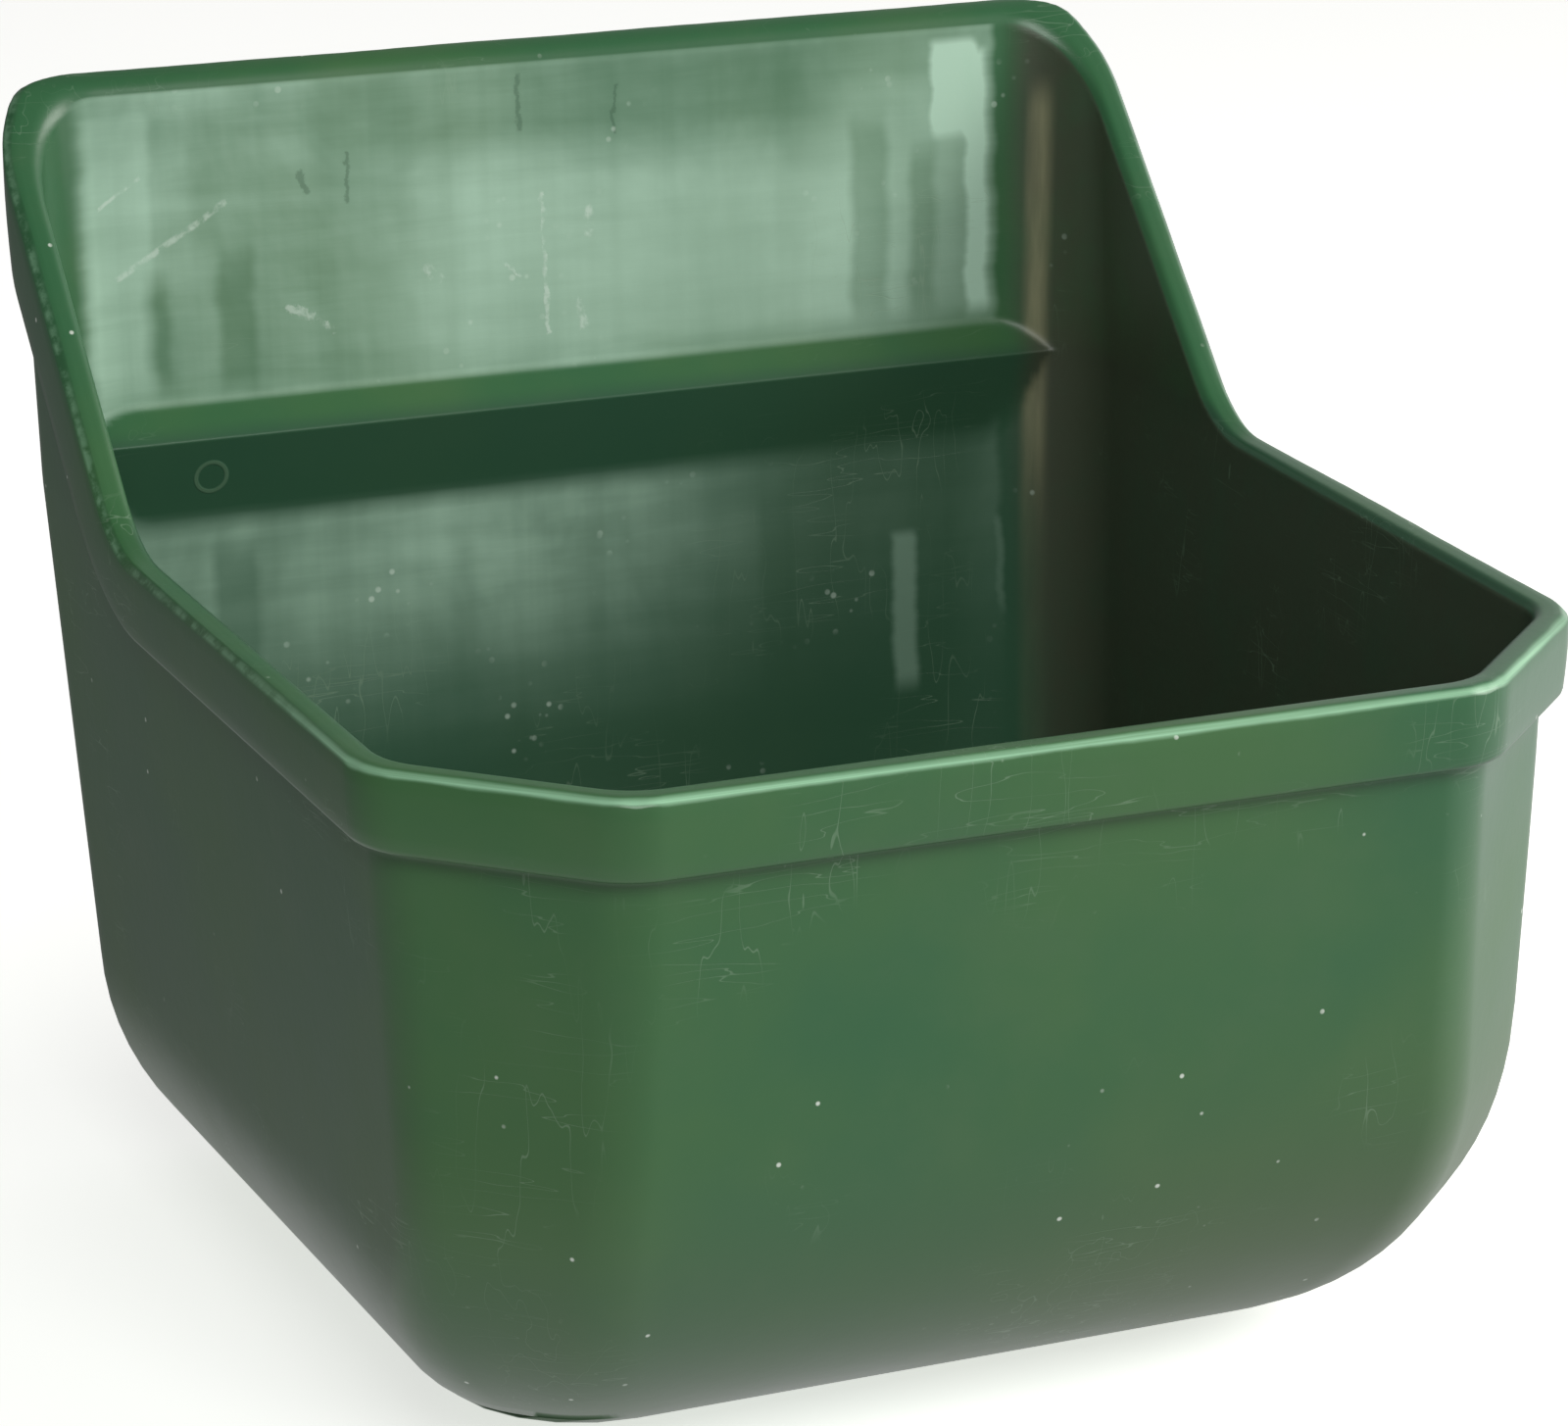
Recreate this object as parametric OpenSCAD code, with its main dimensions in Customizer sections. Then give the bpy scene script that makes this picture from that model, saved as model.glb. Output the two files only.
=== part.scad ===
// Hang-on feed bucket: one moulded trough with a high back wall, and a steel hanger
// that turns in a groove behind the back wall and hooks over a rail or stall board.
// Millimetres. +Z is up, -Y is the front, and the origin is the centre of the flat base.

/* [Trough outline] */
// Width across the rim at the top of the back wall
rim_w = 315.5; // [306:0.5:326]
// Width across the rim where the front chamfers start
front_w = 308; // [303:1:313]
// Depth from the back of the rim to the front of the rim
depth = 326.5; // [316:0.5:336]
// Distance from the origin back to the rear face of the rim
back_y = 129; // [124:1:134]
// Width of each front chamfer, seen from above
chamfer_w = 47; // [42:1:52]
// Depth of each front chamfer, seen from above
chamfer_d = 45; // [40:1:50]
// Wall thickness
wall = 3.5; // [3:0.5:4.5]

/* [Heights] */
// Height of the back wall
back_h = 294.5; // [285:0.5:305]
// Height of the rim at the front
front_h = 189; // [180:1:195]
// Height of the side rim where it starts to climb
bend_h = 193.5; // [190:0.5:198]
// Distance from the back at which the side rim starts to climb
bend_d = 103.5; // [96:0.5:110]
// Radius of the rim at the top of each side
brow_r = 16; // [12:1:20]
// Radius of the rim where it starts to climb
dip_r = 37; // [28:1:44]

/* [Rim band] */
// Height of the thick outer band under the rim
band_h = 20; // [16:1:24]
// How far the band stands out from the wall
band_step = 4.9; // [3.5:0.1:5.5]

/* [Draft and corners] */
// Inward lean of the side walls below the climbing rim, mm per mm of height
side_draft = 0.049; // [0.03:0.001:0.06]
// Inward lean of the front wall
front_draft = 0.066; // [0.04:0.002:0.08]
// Inward lean of the chamfered walls
chamfer_draft = 0.036; // [0.02:0.002:0.06]
// Forward lean of the back wall
back_draft = 0.033; // [0.01:0.001:0.04]
// Vertical corner radius of the band at the back, at the top
back_r_top = 23; // [20:0.5:30]
// The same radius where it would meet the base
back_r_base = 48.5; // [42:0.5:50]
// How much tighter the outside of the wall turns that corner
corner_step = 9.5; // [6:0.5:11]
// Corner radius at both ends of each chamfer
chamfer_r = 22; // [16:1:26]
// Radius between the base and the side walls
side_floor_r = 64; // [56:1:72]
// Radius between the base and the front wall
front_floor_r = 98; // [90:1:104]
// Radius between the base and the chamfered walls
chamfer_floor_r = 91; // [80:1:94]
// Radius between the base and the back wall
back_floor_r = 32; // [26:1:40]

/* [Rib and rear groove] */
// Height of the rib's root on the inside of the back wall
rib_top = 206; // [203:0.5:210]
// Height of the rib's sharp front edge
rib_edge = 197.5; // [196:0.5:200]
// Height at which the rib's face returns to the back wall
rib_low = 172.5; // [169:0.5:176]
// How far the rib's edge stands out from the inside of the back wall
rib_out = 8; // [7:0.5:9]
// Half length of the groove behind the rib
groove_half = 124; // [122:1:126]
// Diameter of each screw boss in the groove
boss_dia = 10; // [9:0.5:11]

/* [Hanger] */
// Diameter of the round steel bar
bar_dia = 8; // [7:0.5:8]
// Distance from the middle of the bar to the centre of each arm
arm_x = 117; // [114:1:118]
// Length of each arm, from the pivot to the centre of its tip
arm_len = 60; // [50:1:70]
// Length of each tip below its arm
tip_len = 50; // [40:1:55]
// Radius of every bend, at the bar's centre
bend_r = 10; // [8:1:11]
// Length of the vinyl cap on each tip
cap_len = 20; // [16:1:24]

/* [Clips] */
// Distance from the middle of the bar to the centre of each clip
clip_x = 99; // [94:1:99]
// Width of each clip
clip_w = 12; // [10:1:12]
// Thickness of the clip's steel
clip_t = 1.5; // [1.2:0.1:1.6]
// Height of the clip screws above the base
screw_z = 185.5; // [185:0.5:187]

/* [Hidden] */

// Half the band's width at the back, at height z
function side_half(z) = rim_w / 2 - side_draft * max(0, bend_h - z);

side_taper = (side_half(front_h) - front_w / 2) / (depth - chamfer_d);
chamfer_len = norm([chamfer_w, chamfer_d]);
chamfer_n = [chamfer_d, chamfer_w] / chamfer_len;
chamfer_c = chamfer_n * [front_w / 2, depth - chamfer_d];
skin = 0.01;
over = 20;

// Distance of the back wall's outer and inner faces in front of the rim's rear face
function outer_d(z) = band_step + back_draft * (back_h - z);
function inner_d(z) = outer_d(z) + wall;

// The hollow V behind the rib, in [distance from the rim's rear face, height]
groove_shift = wall * 1.08;
groove_root = [inner_d(rib_top) - groove_shift, rib_top];
groove_apex = [inner_d(rib_edge) + rib_out - groove_shift, rib_edge];
groove_foot = [inner_d(rib_low) - groove_shift, rib_low];

// Each boss ends inside the wall in front of the groove
boss_len = groove_foot[0] - outer_d(rib_top) + 0.4
           + (groove_apex[0] - groove_foot[0])
           * (screw_z + boss_dia / 2 - rib_low) / (rib_edge - rib_low);

// The bar lies in the V, clear of both faces by bar_gap
bar_r = bar_dia / 2;
bar_gap = 0.4;
roof_dir = (groove_root - groove_apex) / norm(groove_root - groove_apex);
face_dir = (groove_foot - groove_apex) / norm(groove_foot - groove_apex);
half_angle = acos(roof_dir * face_dir) / 2;
pivot = groove_apex + (roof_dir + face_dir) / norm(roof_dir + face_dir)
                      * (bar_r + bar_gap) / sin(half_angle);
pivot_y = back_y - pivot[0];
pivot_z = pivot[1];

// At rest the hanger has dropped until its caps lie tip_gap off the back wall
cap_wall = 1.3;
cap_r = bar_r + cap_wall;
tip_gap = 0.6;
reach = norm([arm_len - cap_r, tip_len]);
rest_z = pivot_z - norm([arm_len, tip_len]);
droop = atan((arm_len - cap_r) / tip_len)
        + asin((outer_d(rest_z) - tip_gap - pivot[0]) / reach);

// Clips lie on the outside of the back wall, behind the bar
fit = 0.06;
touch = 0.05;
ear_front_y = back_y - outer_d(rib_top) + touch;
ear_back_y = ear_front_y + clip_t;
ear_bottom = screw_z - 8;
screw_r = 2;
screw_len = 7.5;
head_r = 3.9;
head_h = 2.4;

// Inset of a wall near the base, where a radius of r turns it into the floor
function floor_inset(r, z) = z < r ? r - sqrt(r * r - (r - z) * (r - z)) : 0;

// Vertical corner radius at the back, at height z
function back_r(z) = back_r_base + (back_r_top - back_r_base) * z / back_h;

// Centres of the six corner arcs of the outline at height z, right half first.
// in is the inset from the band's outline, and t is the wall thickness below that face.
function corners(z, in, t) =
    let (h = z - t,
         br = back_r(z) - t - (t == 0 ? corner_step * min(1, in / band_step) : 0),
         cr = chamfer_r - t / 2,
         in_s = in + floor_inset(side_floor_r - t, h),
         in_c = in + floor_inset(chamfer_floor_r - t, h),
         in_f = in + floor_inset(front_floor_r - t, h),
         in_b = in + floor_inset(back_floor_r - t, h),
         side = side_half(z) - in_s,
         front = depth - front_draft * (front_h - z) - in_f,
         back = back_draft * (back_h - z) + in_b,
         c = chamfer_c - chamfer_draft * (front_h - z) - in_c - cr,
         s = side - cr,
         d1 = (c - chamfer_n[0] * s) / (chamfer_n[1] - chamfer_n[0] * side_taper),
         d2 = front - cr)
    [[side - br, back + br, br],
     [s - side_taper * d1, d1, cr],
     [(c - chamfer_n[1] * d2) / chamfer_n[0], d2, cr]];

module slice(z, in, t) {
    for (c = corners(z, in, t), s = [-1, 1])
        translate([s * c[0], back_y - c[1], z]) cylinder(r = c[2], h = skin, $fn = 40);
}

// Levels that follow the floor radius, closer together near the base
function levels(t, top) =
    [for (a = [0 : 10 : 90]) t + (front_floor_r - t) * (1 - cos(a)), bend_h, top];

module loft(in, t, top) {
    zs = levels(t, top);
    for (i = [0 : len(zs) - 2])
        hull() {
            slice(zs[i], in, t);
            slice(zs[i + 1], in, t);
        }
}

// Side view of everything below the rim, in [y, z]
module rim_side() {
    bend = [back_y - bend_d, bend_h];
    brow = [back_y + 1.5, back_h - brow_r];
    slope_dir = bend - brow;
    brow_a = atan2(slope_dir[1], slope_dir[0]) - acos(brow_r / norm(slope_dir));
    tangent = brow + brow_r * [cos(brow_a), sin(brow_a)];
    climb = atan2(tangent[1] - bend[1], tangent[0] - bend[0]);
    ease = dip_r * tan(climb / 2);
    front_y = back_y - depth;
    polygon(concat(
        [[back_y + over, -over], [back_y + over, back_h], [brow[0], back_h]],
        [for (i = [1 : 8]) let (a = 90 + (brow_a + 360 - 90) * i / 8)
            brow + brow_r * [cos(a), sin(a)]],
        [for (i = [0 : 8]) let (a = 270 + climb * (1 - i / 8))
            [bend[0] - ease, bend[1] + dip_r] + dip_r * [cos(a), sin(a)]],
        [[front_y, front_h], [front_y - over, front_h], [front_y - over, -over]]));
}

module across(half) {
    rotate([90, 0, 90]) linear_extrude(2 * half, center = true) children();
}

module band() {
    difference() {
        for (ends = [[front_h - 2 * band_h, bend_h], [bend_h, back_h + over]])
            hull() for (z = ends) slice(z, 0, 0);
        across(rim_w) offset(delta = -band_h) rim_side();
    }
}

// A V in the back wall: its two faces run on past root and foot until they are clear
module v_shape(root, edge, foot, run) {
    ends = [root + roof_dir * run, edge, foot + face_dir * run * 3];
    polygon([for (p = ends) [back_y - p[0], p[1]]]);
}

module groove() {
    across(groove_half) v_shape(groove_root, groove_apex, groove_foot, over);
}

module rib() {
    intersection() {
        across(rim_w / 2)
            v_shape([inner_d(rib_top), rib_top], [inner_d(rib_edge) + rib_out, rib_edge],
                    [inner_d(rib_low), rib_low], wall / 2);
        loft(band_step + wall / 2, wall / 2, back_h);
    }
}

module bosses() {
    for (s = [-1, 1])
        translate([s * clip_x, back_y - outer_d(rib_top), screw_z]) rotate([90, 0, 0])
            cylinder(d = boss_dia, h = boss_len, $fn = 32);
}

module pilot_holes() {
    for (s = [-1, 1])
        translate([s * clip_x, ear_back_y, screw_z]) rotate([90, 0, 0])
            cylinder(r = screw_r + touch, h = screw_len + 0.5, $fn = 24);
}

module trough() {
    color([0.25, 0.42, 0.3]) difference() {
        union() {
            difference() {
                union() {
                    difference() {
                        intersection() {
                            union() {
                                loft(band_step, 0, back_h + over);
                                band();
                            }
                            across(rim_w) rim_side();
                        }
                        loft(band_step + wall, wall, back_h + 2 * over);
                    }
                    rib();
                }
                groove();
            }
            bosses();
        }
        pilot_holes();
    }
}

// Hanger pieces are drawn with the pivot at the origin and the arms level, then dropped
module hung() {
    translate([0, pivot_y, pivot_z]) rotate([-droop, 0, 0]) children();
}

module bar_side(s) {
    end = bend_r;
    translate([s * (arm_x - end), 0, 0]) {
        // turn from the groove into the arm
        translate([0, end, 0]) mirror([s < 0 ? 1 : 0, 0, 0])
            rotate([0, 0, -90]) rotate_extrude(angle = 90, $fn = 96)
                translate([end, 0]) circle(r = bar_r, $fn = 48);
        translate([s * end, end, 0]) rotate([-90, 0, 0])
            cylinder(r = bar_r, h = arm_len - 2 * end, $fn = 48);
        // turn from the arm down into the tip
        translate([s * end, arm_len - end, -end]) rotate([90, 0, 90])
            rotate_extrude(angle = 90, $fn = 96) translate([end, 0]) circle(r = bar_r, $fn = 48);
        translate([s * end, arm_len, -tip_len + cap_wall])
            cylinder(r = bar_r, h = tip_len - cap_wall - end, $fn = 48);
    }
}

module hanger_bar() {
    color([0.68, 0.7, 0.72]) hung() {
        rotate([0, 90, 0]) cylinder(r = bar_r, h = 2 * (arm_x - bend_r), center = true, $fn = 48);
        bar_side(-1);
        bar_side(1);
    }
}

module tip_cap(s) {
    color([0.12, 0.12, 0.13]) hung() translate([s * arm_x, arm_len, -tip_len]) difference() {
        cylinder(r = cap_r, h = cap_len, $fn = 48);
        translate([0, 0, cap_wall]) cylinder(r = bar_r + touch, h = cap_len, $fn = 48);
    }
}

module clip(s) {
    color([0.72, 0.73, 0.74]) translate([s * clip_x, 0, 0]) difference() {
        union() {
            intersection() {
                translate([0, pivot_y, pivot_z]) rotate([0, 90, 0])
                    cylinder(r = bar_r + fit + clip_t, h = clip_w, center = true, $fn = 64);
                translate([-clip_w, ear_front_y, pivot_z - over]) cube([2 * clip_w, over, 2 * over]);
            }
            translate([-clip_w / 2, ear_front_y, ear_bottom])
                cube([clip_w, clip_t, pivot_z - bar_r + 1 - ear_bottom]);
        }
        translate([0, pivot_y, pivot_z]) rotate([0, 90, 0])
            cylinder(r = bar_r + fit, h = 2 * clip_w, center = true, $fn = 64);
        translate([0, ear_back_y + 1, screw_z]) rotate([90, 0, 0])
            cylinder(r = screw_r + 0.2, h = clip_t + 2, $fn = 32);
    }
}

module clip_screw(s) {
    color([0.78, 0.78, 0.8]) translate([s * clip_x, ear_back_y + touch, screw_z]) rotate([90, 0, 0])
        difference() {
            rotate_extrude($fn = 48) polygon([[0, -head_h], [head_r * 0.55, -head_h],
                [head_r * 0.9, -head_h * 0.75], [head_r, -head_h * 0.35], [head_r, 0],
                [screw_r, 0], [screw_r, screw_len - 1.5], [0.5, screw_len]]);
            for (a = [0, 90])
                rotate([0, 0, a]) translate([-2, -0.45, -head_h - 1]) cube([4, 0.9, 2.2]);
        }
}

module clip_left() { clip(-1); }
module clip_right() { clip(1); }
module clip_screw_left() { clip_screw(-1); }
module clip_screw_right() { clip_screw(1); }
module tip_cap_left() { tip_cap(-1); }
module tip_cap_right() { tip_cap(1); }

trough();
hanger_bar();
clip_left();
clip_right();
clip_screw_left();
clip_screw_right();
tip_cap_left();
tip_cap_right();
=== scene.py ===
"""Hang-on feed bucket: a moulded green trough and the steel hanger behind its back wall.

The trough is one grid of points, wound round the tub and up and down its wall. Lengths in the
shape functions are millimetres in the CAD frame, and become metres in make_mesh(). Lengths in
the materials are metres.
"""

import math

import bmesh
import bpy
import numpy as np
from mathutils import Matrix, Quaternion, Vector


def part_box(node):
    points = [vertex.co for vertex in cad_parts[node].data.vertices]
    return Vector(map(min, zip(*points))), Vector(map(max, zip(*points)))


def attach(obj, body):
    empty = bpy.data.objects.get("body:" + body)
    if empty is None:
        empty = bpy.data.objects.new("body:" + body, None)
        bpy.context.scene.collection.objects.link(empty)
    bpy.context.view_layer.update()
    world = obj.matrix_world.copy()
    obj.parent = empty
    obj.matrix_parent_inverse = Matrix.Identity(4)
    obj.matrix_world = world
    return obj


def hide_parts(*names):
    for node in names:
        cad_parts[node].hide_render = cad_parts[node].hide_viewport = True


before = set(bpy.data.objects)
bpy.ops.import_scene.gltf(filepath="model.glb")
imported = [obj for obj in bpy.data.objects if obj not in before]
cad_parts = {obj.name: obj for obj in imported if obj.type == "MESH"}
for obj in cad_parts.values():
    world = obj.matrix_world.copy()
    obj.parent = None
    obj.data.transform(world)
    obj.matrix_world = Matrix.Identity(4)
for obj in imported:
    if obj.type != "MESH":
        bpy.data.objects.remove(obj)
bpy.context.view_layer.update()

MM = 0.001

# ---------------------------------------------------------------- trough, driving dimensions
low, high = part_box("trough")
BACK_Y = high.y / MM
DEPTH = (high.y - low.y) / MM
BACK_H = high.z / MM
RIM_W = 315.5
FRONT_W = 308.0
CHAMFER_W = 47.0
CHAMFER_D = 45.0
WALL = 3.5
FRONT_H = 189.0
BEND_H = 193.5
BEND_D = 103.5
BROW_R = 16.0
DIP_R = 37.0
BAND_H = 20.0
BAND_STEP = 4.9
SIDE_DRAFT = 0.049
FRONT_DRAFT = 0.066
CHAMFER_DRAFT = 0.036
BACK_DRAFT = 0.033
BACK_R_TOP = 23.0
BACK_R_BASE = 48.5
CORNER_STEP = 9.5
CHAMFER_R = 22.0
SIDE_FLOOR_R = 64.0
FRONT_FLOOR_R = 98.0
CHAMFER_FLOOR_R = 91.0
BACK_FLOOR_R = 32.0
RIB_TOP = 206.0
RIB_EDGE = 197.5
RIB_LOW = 172.5
RIB_OUT = 8.0
GROOVE_HALF = 124.0
BOSS_X = 99.0
BOSS_Z = 185.5
BOSS_R = 5.0
PILOT_R = 2.05
LIP_W = BAND_STEP + WALL

# Small radii of the moulding
FILLET_R = 2.2      # under the band, concave
BAND_EDGE_R = 1.6   # lower edge of the band
LIP_IN_R = 2.6      # inner edge of the lip
TRIM = 2.0          # trimmed outer edge of the lip
RIB_BLEND = 1.6     # rib into wall
LIP_SAG = 0.12      # the lip's top falls this much towards the inside
OUTER_RIPPLE = 0.22
INNER_RIPPLE = 0.3
# Across the trimmed edge: share of TRIM inwards, share of TRIM down, how pale it is there
TRIM_ROWS = ((0, 1.05, 0.0), (0.06, 0.9, 0.15), (0.32, 0.6, 1.0), (0.64, 0.28, 0.7),
             (0.92, 0.06, 0.15), (1.12, 0.0, 0.0))

CHAMFER_LEN = math.hypot(CHAMFER_W, CHAMFER_D)
CHAMFER_N = (CHAMFER_D / CHAMFER_LEN, CHAMFER_W / CHAMFER_LEN)
CHAMFER_C = CHAMFER_N[0] * FRONT_W / 2 + CHAMFER_N[1] * (DEPTH - CHAMFER_D)


def side_half(z):
    """Half the band's width at the back: upright above the bend, leaning in below it."""
    return RIM_W / 2 - SIDE_DRAFT * np.maximum(0, BEND_H - z)


SIDE_TAPER = (side_half(FRONT_H) - FRONT_W / 2) / (DEPTH - CHAMFER_D)


def smooth(a, b, v):
    """0 at a, 1 at b, with level ends."""
    t = np.clip((v - a) / (b - a), 0, 1)
    return t * t * (3 - 2 * t)


def rim_profile():
    """The rim's side view as points (y, z), from the back to the front."""
    bend = np.array([BACK_Y - BEND_D, BEND_H])
    brow = np.array([BACK_Y + 1.5, BACK_H - BROW_R])
    slope = bend - brow
    length = np.hypot(*slope)
    start = math.atan2(slope[1], slope[0]) - math.acos(BROW_R / length)
    tangent = brow + BROW_R * np.array([math.cos(start), math.sin(start)])
    climb = math.atan2(tangent[1] - bend[1], tangent[0] - bend[0])
    ease = DIP_R * math.tan(climb / 2)
    points = [(BACK_Y + 40, BACK_H)]
    for angle in np.linspace(math.pi / 2, start + 2 * math.pi, 24):
        points.append(tuple(brow + BROW_R * np.array([math.cos(angle), math.sin(angle)])))
    centre = bend + np.array([-ease, DIP_R])
    for angle in np.linspace(1.5 * math.pi + climb, 1.5 * math.pi, 24):
        points.append(tuple(centre + DIP_R * np.array([math.cos(angle), math.sin(angle)])))
    points.append((BACK_Y - DEPTH, FRONT_H))
    points.append((BACK_Y - DEPTH - 40, FRONT_H))
    return np.array(points)


PROFILE = rim_profile()[::-1]


def rim_z(y):
    return np.interp(y, PROFILE[:, 0], PROFILE[:, 1])


def rim_stretch(y):
    """Upright height of one millimetre measured square to the rim."""
    return np.sqrt(1 + ((rim_z(y + 1) - rim_z(y - 1)) / 2) ** 2)


def band_low_z(y):
    """Lower edge of the band: BAND_H below the rim, measured square to it."""
    steps = np.linspace(-0.995, 0.995, 61) * BAND_H
    drop = np.sqrt(BAND_H ** 2 - steps ** 2)
    return np.min([rim_z(y + s) - d for s, d in zip(steps, drop)], axis=0)


def floor_inset(radius, h):
    h = np.clip(h, 0, radius)
    return radius - np.sqrt(np.maximum(radius ** 2 - (radius - h) ** 2, 0))


class Columns:
    """The columns of the grid: where each lies on the outline, one turn, from the back's middle."""

    BACK, BACK_ARC, SIDE, ARC_A, CHAMFER, ARC_B, FRONT = range(7)
    COUNTS = (44, 34, 92, 12, 16, 14, 36)

    def __init__(self):
        seg, f = [], []
        for k, n in enumerate(self.COUNTS):
            for i in range(n):
                seg.append(k)
                f.append(i / n)
        seg.append(self.FRONT)
        f.append(1.0)
        half = len(seg)
        self.seg = np.array(seg + seg[-2:0:-1])
        self.f = np.array(f + f[-2:0:-1])
        self.sign = np.array([1.0] * half + [-1.0] * (half - 2))
        self.count = len(self.seg)
        self.turn = np.where(self.sign > 0, self.seg + self.f, 14 - self.seg - self.f)
        self.clear_of_back = smooth(self.SIDE, self.SIDE + 0.3, self.seg + self.f)

    def outline(self, z, inset, t, outside=False):
        """x and y of every column at height z; inset is from the band's face, t the wall below it.

        The outside of the wall turns the back corners more tightly than the band."""
        z = np.asarray(z, float) + np.zeros(self.count)
        h = z - t
        low_share = np.clip(1 - h / FRONT_FLOOR_R, 0, 1) ** 2
        br = BACK_R_BASE + (BACK_R_TOP - BACK_R_BASE) * z / BACK_H - t
        if outside:
            br = br - CORNER_STEP * np.clip(inset / BAND_STEP, 0, 1)
        cr = CHAMFER_R - t / 2 + 16 * low_share
        side_in = inset + floor_inset(SIDE_FLOOR_R - t, h)
        chamfer_in = inset + floor_inset(CHAMFER_FLOOR_R - t, h)
        front_in = inset + floor_inset(FRONT_FLOOR_R - t, h)
        back_in = inset + floor_inset(BACK_FLOOR_R - t, h)
        side = side_half(z) - side_in
        front = DEPTH - FRONT_DRAFT * (FRONT_H - z) - front_in
        back = BACK_DRAFT * (BACK_H - z) + back_in
        c = CHAMFER_C - CHAMFER_DRAFT * (FRONT_H - z) - chamfer_in - cr
        s = side - cr
        d1 = (c - CHAMFER_N[0] * s) / (CHAMFER_N[1] - CHAMFER_N[0] * SIDE_TAPER)
        d2 = front - cr
        c0 = (side - br, BACK_Y - back - br)
        c1 = (s - SIDE_TAPER * d1, BACK_Y - d1)
        c2 = ((c - CHAMFER_N[1] * d2) / CHAMFER_N[0], BACK_Y - d2)
        a1 = self._tangent(c0, br, c1, cr)
        a2 = self._tangent(c1, cr, c2, cr)
        a0 = np.full(self.count, math.pi / 2)
        a3 = np.full(self.count, -math.pi / 2)
        zero = np.zeros(self.count)
        lines = {self.BACK: (((zero, c0[1]), br, a0), (c0, br, a0)),
                 self.SIDE: ((c0, br, a1), (c1, cr, a1)),
                 self.CHAMFER: ((c1, cr, a2), (c2, cr, a2)),
                 self.FRONT: ((c2, cr, a3), ((zero, c2[1]), cr, a3))}
        arcs = {self.BACK_ARC: (c0, br, a0, a1), self.ARC_A: (c1, cr, a1, a2),
                self.ARC_B: (c2, cr, a2, a3)}
        x, y = np.zeros(self.count), np.zeros(self.count)
        for k, (start, end) in lines.items():
            m = self.seg == k
            ends = [[p[0][i] + p[1] * fn(p[2]) for i, fn in ((0, np.cos), (1, np.sin))]
                    for p in (start, end)]
            x[m] = (ends[0][0] + (ends[1][0] - ends[0][0]) * self.f)[m]
            y[m] = (ends[0][1] + (ends[1][1] - ends[0][1]) * self.f)[m]
        for k, (centre, r, start, end) in arcs.items():
            m = self.seg == k
            a = start + (end - start) * self.f
            x[m] = (centre[0] + r * np.cos(a))[m]
            y[m] = (centre[1] + r * np.sin(a))[m]
        return x * self.sign, y

    @staticmethod
    def _tangent(p, rp, q, rq):
        dx, dy = q[0] - p[0], q[1] - p[1]
        return np.arctan2(dy, dx) + np.arccos(np.clip((rp - rq) / np.hypot(dx, dy), -1, 1))


COLUMNS = Columns()


def waves(turn, z, seed):
    """Gentle unevenness of a cooled moulding, about -1 to 1, smooth all round."""
    rng = np.random.default_rng(seed)
    total = 0
    for k in range(7):
        n = rng.integers(2, 9)
        total = total + math.sin(k + 1) * np.sin(2 * math.pi * n * turn / 14 + rng.uniform(0, 6.3)
                                                 + z / rng.uniform(40, 120))
    return total / 4


def rib_depth(z):
    """How far the rib's V stands out from the wall at height z, negative above and below it."""
    roof = (RIB_TOP - z) * RIB_OUT / (RIB_TOP - RIB_EDGE)
    face = (z - RIB_LOW) * RIB_OUT / (RIB_EDGE - RIB_LOW)
    return soft_min(roof, face, 0.5)


def soft_min(a, b, k):
    h = np.clip(0.5 + 0.5 * (b - a) / k, 0, 1)
    return b + (a - b) * h - k * h * (1 - h)


def add_rib(x, y, z):
    """The rib on the inside: the wall's own y, or the rib's plane where that stands out further."""
    wall_y = BACK_Y - (LIP_W + BACK_DRAFT * (BACK_H - z))
    return soft_min(y, wall_y - rib_depth(z), RIB_BLEND * smooth(60, 100, y) + 1e-6)


def add_groove(x, y, z):
    """The hollow V behind the rib, on the outside of the back wall."""
    depth = rib_depth(z) * (RIB_OUT + 0.1) / RIB_OUT - 0.2
    ends = smooth(GROOVE_HALF + 0.8, GROOVE_HALF - 0.8, np.abs(x)) * (y > 60)
    return y - np.maximum(depth, 0) * ends


def wall_levels():
    """Heights of the wall's rows where it is tallest, closest together round the rib."""
    fillet = FRONT_FLOOR_R * (1 - np.cos(np.radians(np.linspace(0, 80, 20))))
    plain = np.linspace(fillet[-1], RIB_LOW - 3, 9)[1:]
    foot = np.linspace(RIB_LOW - 2, RIB_LOW + 3, 6)
    face = np.linspace(RIB_LOW + 5, RIB_EDGE - 2, 6)
    edge = RIB_EDGE + np.linspace(-1.2, 1.2, 9)
    roof = np.linspace(RIB_EDGE + 2.4, RIB_TOP - 2.4, 4)
    root = RIB_TOP + np.linspace(-1.6, 2.4, 9)
    upper = np.linspace(RIB_TOP + 6, BACK_H, 12)
    return np.concatenate([fillet, plain, foot, face, edge, roof, root, upper])


LEVELS = wall_levels()
KNEE_LOW, KNEE_HIGH, KNEE_SHARE = 100.0, RIB_TOP + 4, 0.8


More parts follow.
